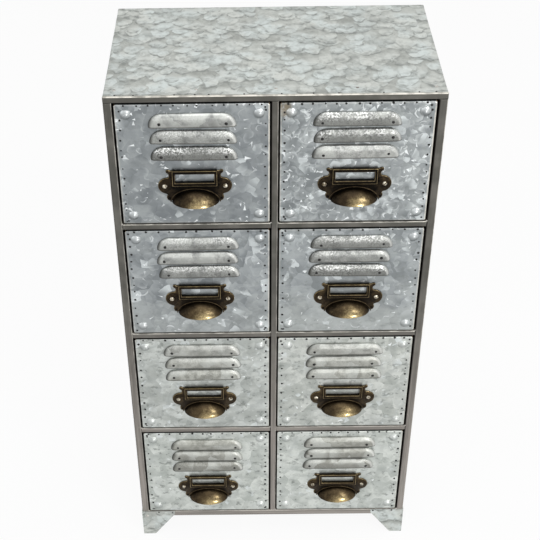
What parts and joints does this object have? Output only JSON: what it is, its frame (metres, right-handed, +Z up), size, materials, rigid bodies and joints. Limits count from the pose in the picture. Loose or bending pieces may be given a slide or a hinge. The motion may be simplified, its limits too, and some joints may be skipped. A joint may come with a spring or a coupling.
{
  "type": "drawer cabinet",
  "caption": "Upright galvanised drawer cabinet on sheet feet, steel bar front frame, louvred drawer fronts with card-frame cup pulls.",
  "frame": {"origin": "bottom centre of the whole object, pulls included, on the floor between the feet", "axes": "+Z up; -Y out of the front, where the drawers open; +X to the right seen from the front"},
  "size_m": [0.3716, 0.234, 0.716],
  "materials": {
    "frame_steel": "dull raw steel bar, lightly brushed, clear-coated",
    "galvanised_casing": "matt galvanised sheet with overlapping pale spangle patches",
    "drawer_zinc": "galvanised sheet with large crystalline spangle and bright scratches",
    "hood_zinc": "aged galvanised pressing, speckled",
    "antique_brass": "dark bronzed cast brass, rubbed bright on the cup",
    "carcass_wood": "plain planed softwood board",
    "drawer_wood": "plain thin softwood board",
    "back_ply": "thin plywood"
  },
  "bodies": {
    "carcass": {"frame_top_bar": "frame_steel", "frame_bottom_bar": "frame_steel", "frame_left_bar": "frame_steel", "frame_right_bar": "frame_steel", "frame_centre_bar": "frame_steel", "frame_rails": "frame_steel", "casing_sheet": "galvanised_casing", "left_board": "carcass_wood", "right_board": "carcass_wood", "bottom_board": "carcass_wood", "top_board": "carcass_wood", "centre_board": "carcass_wood", "shelves": "carcass_wood", "back_panel": "back_ply", "foot_front_left": "galvanised_casing", "foot_front_right": "galvanised_casing", "foot_back_left": "galvanised_casing", "foot_back_right": "galvanised_casing", "foot_blocks": "carcass_wood"},
    "drawer_left_1": {"drawer_left_1_front_board": "drawer_wood", "drawer_left_1_box": "drawer_wood", "drawer_left_1_face": "drawer_zinc", "drawer_left_1_hoods": "hood_zinc", "drawer_left_1_pull": "antique_brass"},
    "drawer_left_2": {"drawer_left_2_front_board": "drawer_wood", "drawer_left_2_box": "drawer_wood", "drawer_left_2_face": "drawer_zinc", "drawer_left_2_hoods": "hood_zinc", "drawer_left_2_pull": "antique_brass"},
    "drawer_left_3": {"drawer_left_3_front_board": "drawer_wood", "drawer_left_3_box": "drawer_wood", "drawer_left_3_face": "drawer_zinc", "drawer_left_3_hoods": "hood_zinc", "drawer_left_3_pull": "antique_brass"},
    "drawer_left_4": {"drawer_left_4_front_board": "drawer_wood", "drawer_left_4_box": "drawer_wood", "drawer_left_4_face": "drawer_zinc", "drawer_left_4_hoods": "hood_zinc", "drawer_left_4_pull": "antique_brass"},
    "drawer_right_1": {"drawer_right_1_front_board": "drawer_wood", "drawer_right_1_box": "drawer_wood", "drawer_right_1_face": "drawer_zinc", "drawer_right_1_hoods": "hood_zinc", "drawer_right_1_pull": "antique_brass"},
    "drawer_right_2": {"drawer_right_2_front_board": "drawer_wood", "drawer_right_2_box": "drawer_wood", "drawer_right_2_face": "drawer_zinc", "drawer_right_2_hoods": "hood_zinc", "drawer_right_2_pull": "antique_brass"},
    "drawer_right_3": {"drawer_right_3_front_board": "drawer_wood", "drawer_right_3_box": "drawer_wood", "drawer_right_3_face": "drawer_zinc", "drawer_right_3_hoods": "hood_zinc", "drawer_right_3_pull": "antique_brass"},
    "drawer_right_4": {"drawer_right_4_front_board": "drawer_wood", "drawer_right_4_box": "drawer_wood", "drawer_right_4_face": "drawer_zinc", "drawer_right_4_hoods": "hood_zinc", "drawer_right_4_pull": "antique_brass"}
  },
  "joints": [
    {"name": "drawer_left_1_slide", "type": "slide", "parent": "carcass", "child": "drawer_left_1", "axis": [0, -1, 0], "range_m": [0, 0.15]},
    {"name": "drawer_left_2_slide", "type": "slide", "parent": "carcass", "child": "drawer_left_2", "axis": [0, -1, 0], "range_m": [0, 0.15]},
    {"name": "drawer_left_3_slide", "type": "slide", "parent": "carcass", "child": "drawer_left_3", "axis": [0, -1, 0], "range_m": [0, 0.15]},
    {"name": "drawer_left_4_slide", "type": "slide", "parent": "carcass", "child": "drawer_left_4", "axis": [0, -1, 0], "range_m": [0, 0.15]},
    {"name": "drawer_right_1_slide", "type": "slide", "parent": "carcass", "child": "drawer_right_1", "axis": [0, -1, 0], "range_m": [0, 0.15]},
    {"name": "drawer_right_2_slide", "type": "slide", "parent": "carcass", "child": "drawer_right_2", "axis": [0, -1, 0], "range_m": [0, 0.15]},
    {"name": "drawer_right_3_slide", "type": "slide", "parent": "carcass", "child": "drawer_right_3", "axis": [0, -1, 0], "range_m": [0, 0.15]},
    {"name": "drawer_right_4_slide", "type": "slide", "parent": "carcass", "child": "drawer_right_4", "axis": [0, -1, 0], "range_m": [0, 0.15]}
  ]
}
